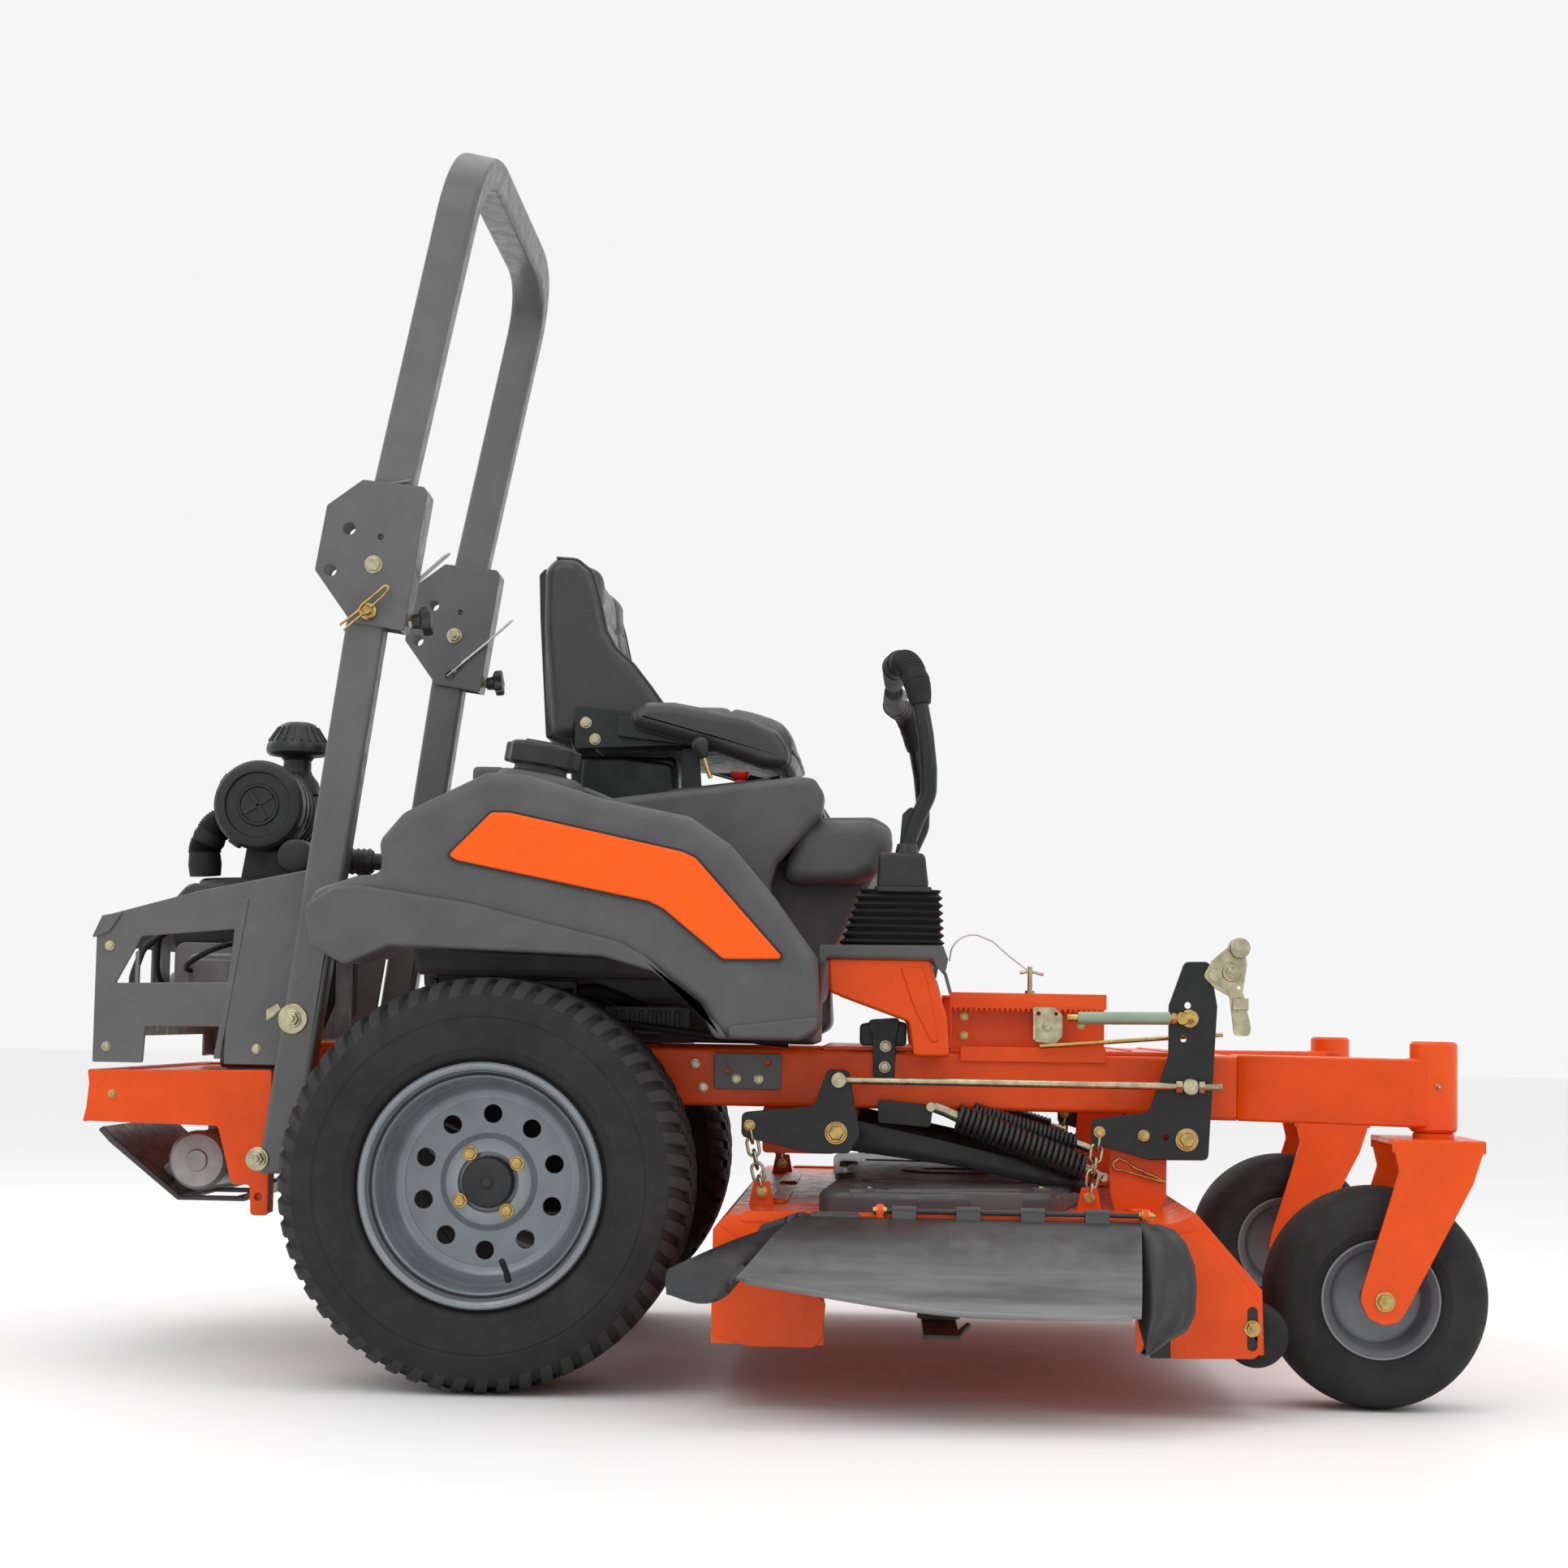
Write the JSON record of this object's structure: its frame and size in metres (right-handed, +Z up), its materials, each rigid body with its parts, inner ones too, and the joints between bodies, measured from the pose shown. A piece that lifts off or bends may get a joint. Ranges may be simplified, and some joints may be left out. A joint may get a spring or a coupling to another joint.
{
  "type": "zero turn mower",
  "caption": "Ride-on zero turn mower with dished drive wheels, swivel casters, belly cutting deck with discharge chute, lap bars, seat and folding roll hoop.",
  "frame": {"origin": "middle of the whole footprint on the ground, chute included; the machine's own centreline is at Y = +0.100 and the rear axle at X = -0.397", "axes": "+X forward, towards the casters; +Y to the operator's left; +Z up"},
  "size_m": [2.122, 1.6, 1.9146],
  "materials": {
    "orange_paint": "satin powder coat",
    "panel_orange": "smooth moulded plastic",
    "grey_paint": "satin powder coat",
    "grey_plastic": "fine moulded grain",
    "black_plastic": "moulded, semi-matte",
    "black_steel": "semi-gloss black coat",
    "tyre_rubber": "matt rubber with turf tread",
    "rim_silver": "silver-grey wheel paint",
    "caster_grey": "grey wheel paint",
    "engine_black": "black painted castings and covers",
    "bare_steel": "bare steel",
    "zinc": "yellow zinc plating",
    "vinyl": "dark grey seat vinyl",
    "foam": "soft black moulding",
    "red_plastic": "red knob"
  },
  "bodies": {
    "chassis": {"wheel_motor_right": "engine_black", "wheel_motor_left": "engine_black", "engine": "engine_black", "air_cleaner": "engine_black", "frame_rail_right": "orange_paint", "frame_rail_left": "orange_paint", "caster_arm_right": "orange_paint", "caster_arm_left": "orange_paint", "floor_frame": "orange_paint", "rear_frame": "orange_paint", "rops_post_right": "grey_paint", "rops_post_left": "grey_paint", "engine_guard": "grey_paint", "muffler": "bare_steel", "muffler_guard": "black_steel", "fuel_tank_right": "grey_plastic", "fuel_tank_left": "grey_plastic", "seat_pod": "grey_plastic", "tank_panel_right": "panel_orange", "tank_panel_left": "panel_orange", "lever_boot_right": "foam", "lever_boot_left": "foam"},
    "rops": {"rops_hoop": "grey_paint"},
    "seat": {"seat_base": "black_steel", "seat_cushion": "vinyl", "seat_back": "vinyl"},
    "throttle": {"throttle_lever": "black_plastic"},
    "pto_switch": {"pto_knob": "red_plastic"},
    "deck": {"deck_shell": "orange_paint", "belt_cover": "black_plastic"},
    "chute": {"discharge_chute": "black_plastic"},
    "front_lift": {"front_lift_crank": "black_steel"},
    "rear_lift": {"rear_lift_crank": "black_steel"},
    "tie_rod": {"lift_tie_rod": "zinc"},
    "pedal": {"lift_pedal": "zinc"},
    "blade_spindle_right": {"blade_right": "bare_steel"},
    "blade_spindle_centre": {"blade_centre": "bare_steel"},
    "blade_spindle_left": {"blade_left": "bare_steel"},
    "drive_wheel_right": {"drive_tyre_right": "tyre_rubber", "drive_rim_right": "rim_silver"},
    "caster_right": {"caster_fork_right": "orange_paint"},
    "caster_wheel_right": {"caster_rim_right": "caster_grey", "caster_tyre_right": "tyre_rubber"},
    "lock_pin_right": {"rops_pin_right": "zinc"},
    "tank_cap_right": {"fuel_cap_right": "black_plastic"},
    "arm_rest_right": {"armrest_right": "vinyl"},
    "lever_right": {"lever_hub_right": "black_plastic"},
    "bar_right": {"lap_bar_right": "black_steel"},
    "anti_scalp_right": {"anti_scalp_wheel_right": "foam"},
    "drive_wheel_left": {"drive_tyre_left": "tyre_rubber", "drive_rim_left": "rim_silver"},
    "caster_left": {"caster_fork_left": "orange_paint"},
    "caster_wheel_left": {"caster_rim_left": "caster_grey", "caster_tyre_left": "tyre_rubber"},
    "lock_pin_left": {"rops_pin_left": "zinc"},
    "tank_cap_left": {"fuel_cap_left": "black_plastic"},
    "arm_rest_left": {"armrest_left": "vinyl"},
    "lever_left": {"lever_hub_left": "black_plastic"},
    "bar_left": {"lap_bar_left": "black_steel"},
    "anti_scalp_left": {"anti_scalp_wheel_left": "foam"}
  },
  "joints": [
    {"name": "drive_spin_right", "type": "hinge", "parent": "chassis", "child": "drive_wheel_right", "pos_m": [-0.397, -0.405, 0.3], "axis": [0, 1, 0], "continuous": true},
    {"name": "caster_swivel_right", "type": "hinge", "parent": "chassis", "child": "caster_right", "pos_m": [0.987, -0.41, 0.45], "axis": [0, 0, 1], "continuous": true},
    {"name": "caster_spin_right", "type": "hinge", "parent": "caster_right", "child": "caster_wheel_right", "pos_m": [0.901, -0.41, 0.16], "axis": [0, 1, 0], "continuous": true},
    {"name": "drive_spin_left", "type": "hinge", "parent": "chassis", "child": "drive_wheel_left", "pos_m": [-0.397, 0.605, 0.3], "axis": [0, 1, 0], "continuous": true},
    {"name": "caster_swivel_left", "type": "hinge", "parent": "chassis", "child": "caster_left", "pos_m": [0.987, 0.61, 0.45], "axis": [0, 0, 1], "continuous": true},
    {"name": "caster_spin_left", "type": "hinge", "parent": "caster_left", "child": "caster_wheel_left", "pos_m": [0.901, 0.61, 0.16], "axis": [0, 1, 0], "continuous": true},
    {"name": "rops_fold", "type": "hinge", "parent": "chassis", "child": "rops", "pos_m": [-0.609, 0.1, 1.226], "axis": [0, -1, 0], "range_deg": [0, 110]},
    {"name": "lock_pin_pull_right", "type": "slide", "parent": "rops", "child": "lock_pin_right", "axis": [0, -1, 0], "range_m": [0, 0.05]},
    {"name": "lock_pin_pull_left", "type": "slide", "parent": "rops", "child": "lock_pin_left", "axis": [0, 1, 0], "range_m": [0, 0.05]},
    {"name": "fuel_cap_turn_right", "type": "hinge", "parent": "chassis", "child": "tank_cap_right", "pos_m": [-0.345, -0.37, 0.903], "axis": [0.1564, 0, 0.9877], "range_deg": [0, 120]},
    {"name": "fuel_cap_turn_left", "type": "hinge", "parent": "chassis", "child": "tank_cap_left", "pos_m": [-0.345, 0.57, 0.903], "axis": [0.1564, 0, 0.9877], "range_deg": [0, 120]},
    {"name": "seat_tilt", "type": "hinge", "parent": "chassis", "child": "seat", "pos_m": [0.079, 0.1, 0.878], "axis": [0, 1, 0], "range_deg": [0, 40]},
    {"name": "armrest_flip_right", "type": "hinge", "parent": "seat", "child": "arm_rest_right", "pos_m": [-0.298, -0.155, 1.007], "axis": [0, -1, 0], "range_deg": [0, 90]},
    {"name": "armrest_flip_left", "type": "hinge", "parent": "seat", "child": "arm_rest_left", "pos_m": [-0.298, 0.355, 1.007], "axis": [0, -1, 0], "range_deg": [0, 90]},
    {"name": "lever_drive_right", "type": "hinge", "parent": "chassis", "child": "lever_right", "pos_m": [0.211, -0.308, 0.62], "axis": [0, 1, 0], "range_deg": [-9, 12], "deforming": ["lever_boot_right"]},
    {"name": "lap_bar_swing_right", "type": "hinge", "parent": "lever_right", "child": "bar_right", "pos_m": [0.211, -0.308, 0.815], "axis": [1, 0, 0], "range_deg": [0, 28]},
    {"name": "lever_drive_left", "type": "hinge", "parent": "chassis", "child": "lever_left", "pos_m": [0.211, 0.508, 0.62], "axis": [0, 1, 0], "range_deg": [-9, 12], "deforming": ["lever_boot_left"]},
    {"name": "lap_bar_swing_left", "type": "hinge", "parent": "lever_left", "child": "bar_left", "pos_m": [0.211, 0.508, 0.815], "axis": [-1, 0, 0], "range_deg": [0, 28]},
    {"name": "throttle_move", "type": "hinge", "parent": "chassis", "child": "throttle", "pos_m": [-0.082, -0.245, 0.885], "axis": [0, 1, 0], "range_deg": [-25, 25]},
    {"name": "pto_pull", "type": "slide", "parent": "chassis", "child": "pto_switch", "axis": [0, 0, 1], "range_m": [0, 0.012]},
    {"name": "deck_lift", "type": "slide", "parent": "chassis", "child": "deck", "axis": [0, 0, 1], "range_m": [-0.07, 0.03]},
    {"name": "blade_spin_right", "type": "hinge", "parent": "deck", "child": "blade_spindle_right", "pos_m": [0.268, -0.352, 0.104], "axis": [0, 0, 1], "continuous": true},
    {"name": "blade_spin_centre", "type": "hinge", "parent": "deck", "child": "blade_spindle_centre", "pos_m": [0.393, 0.1, 0.104], "axis": [0, 0, 1], "continuous": true},
    {"name": "blade_spin_left", "type": "hinge", "parent": "deck", "child": "blade_spindle_left", "pos_m": [0.268, 0.552, 0.104], "axis": [0, 0, 1], "continuous": true},
    {"name": "chute_raise", "type": "hinge", "parent": "deck", "child": "chute", "pos_m": [0.328, -0.608, 0.281], "axis": [-1, 0, 0], "range_deg": [0, 80]},
    {"name": "anti_scalp_spin_right", "type": "hinge", "parent": "deck", "child": "anti_scalp_right", "pos_m": [0.71, -0.568, 0.116], "axis": [0, 1, 0], "continuous": true},
    {"name": "anti_scalp_spin_left", "type": "hinge", "parent": "deck", "child": "anti_scalp_left", "pos_m": [0.71, 0.768, 0.116], "axis": [0, 1, 0], "continuous": true},
    {"name": "front_crank_turn", "type": "hinge", "parent": "chassis", "child": "front_lift", "pos_m": [0.634, 0.1, 0.378], "axis": [0, 1, 0], "range_deg": [-32, 14]},
    {"name": "rear_crank_turn", "type": "hinge", "parent": "chassis", "child": "rear_lift", "pos_m": [0.111, 0.1, 0.378], "axis": [0, 1, 0], "range_deg": [-32, 14]},
    {"name": "tie_rod_level", "type": "hinge", "parent": "front_lift", "child": "tie_rod", "pos_m": [0.637, -0.354, 0.457], "axis": [0, 1, 0], "range_deg": [-14, 32]},
    {"name": "pedal_push", "type": "hinge", "parent": "front_lift", "child": "pedal", "pos_m": [0.673, -0.354, 0.624], "axis": [0, 1, 0], "range_deg": [-12, 12]}
  ],
  "couplings": [
    {"joint": "front_crank_turn", "follows": "deck_lift", "rad_per_m": 7.6923},
    {"joint": "rear_crank_turn", "follows": "deck_lift", "rad_per_m": 7.6923},
    {"joint": "tie_rod_level", "follows": "deck_lift", "rad_per_m": -7.6923},
    {"joint": "blade_spin_right", "follows": "blade_spin_centre", "ratio": 1},
    {"joint": "blade_spin_left", "follows": "blade_spin_centre", "ratio": 1}
  ]
}
